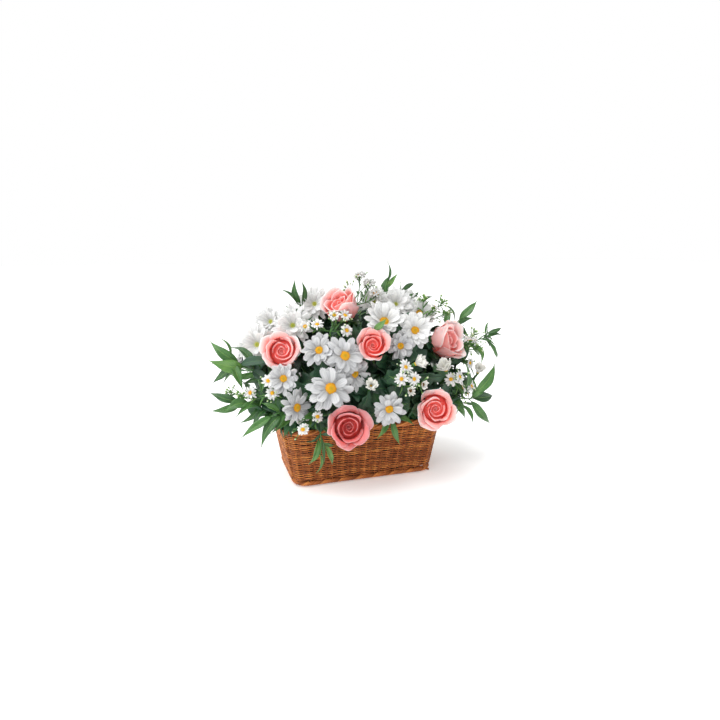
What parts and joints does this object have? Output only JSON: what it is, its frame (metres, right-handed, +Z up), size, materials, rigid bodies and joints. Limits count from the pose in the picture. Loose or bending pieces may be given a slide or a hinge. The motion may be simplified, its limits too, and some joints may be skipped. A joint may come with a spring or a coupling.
{
  "type": "flower basket arrangement",
  "caption": "Flared wicker basket holding a low dome of pink roses, white daisies, small asters and pointed green leaves in floral foam.",
  "frame": {"origin": "middle of the basket's floor, on the surface that it stands on", "axes": "+X along the basket, +Y from its front to its back, +Z up"},
  "size_m": [0.436, 0.2605, 0.294],
  "materials": {
    "wicker": "varnished reed, satin",
    "wicker_border": "varnished reed, satin",
    "liner": "thin film, semi-matt",
    "foam": "wet open-cell foam",
    "rose": "velvety petals",
    "daisy": "satin petals",
    "aster": "satin petals",
    "foliage": "waxy leaves"
  },
  "bodies": {
    "root": {"aster_spray_back_left": "aster", "aster_spray_back_right": "aster", "aster_spray_centre": "aster", "aster_spray_far_right": "aster", "aster_spray_front_left": "aster", "aster_spray_left": "aster", "aster_spray_right": "aster", "aster_spray_top": "aster", "aster_spray_upper_left": "aster", "aster_spray_upper_right": "aster", "basket_floor": "wicker", "basket_foot": "wicker_border", "basket_rim": "wicker_border", "basket_wall": "wicker", "daisy_front_centre": "daisy", "daisy_front_left": "daisy", "daisy_front_right": "daisy", "daisy_inner_front": "daisy", "daisy_inner_left": "daisy", "daisy_inner_right": "daisy", "daisy_left_small": "daisy", "daisy_right": "daisy", "daisy_spray_back_left": "daisy", "daisy_spray_back_low": "daisy", "daisy_spray_back_middle": "daisy", "daisy_spray_back_right": "daisy", "daisy_spray_back_top": "daisy", "daisy_spray_far_left": "daisy", "daisy_spray_right_side": "daisy", "daisy_spray_top_back": "daisy", "daisy_top_left": "daisy", "daisy_top_right": "daisy", "daisy_upper_centre": "daisy", "daisy_upper_left": "daisy", "floral_foam": "foam", "foliage_back": "foliage", "foliage_back_left": "foliage", "foliage_back_right": "foliage", "foliage_front": "foliage", "foliage_front_left": "foliage", "foliage_front_right": "foliage", "foliage_left_high": "foliage", "foliage_left_low": "foliage", "foliage_right": "foliage", "foliage_right_high": "foliage", "foliage_right_low": "foliage", "foliage_top": "foliage", "foliage_top_left": "foliage", "half_open_daisy_centre": "daisy", "half_open_daisy_far_right": "daisy", "half_open_daisy_front": "daisy", "half_open_daisy_right": "daisy", "liner": "liner", "rose_centre": "rose", "rose_corner": "rose", "rose_front": "rose", "rose_left": "rose", "rose_right": "rose", "rose_top": "rose"}
  },
  "joints": []
}
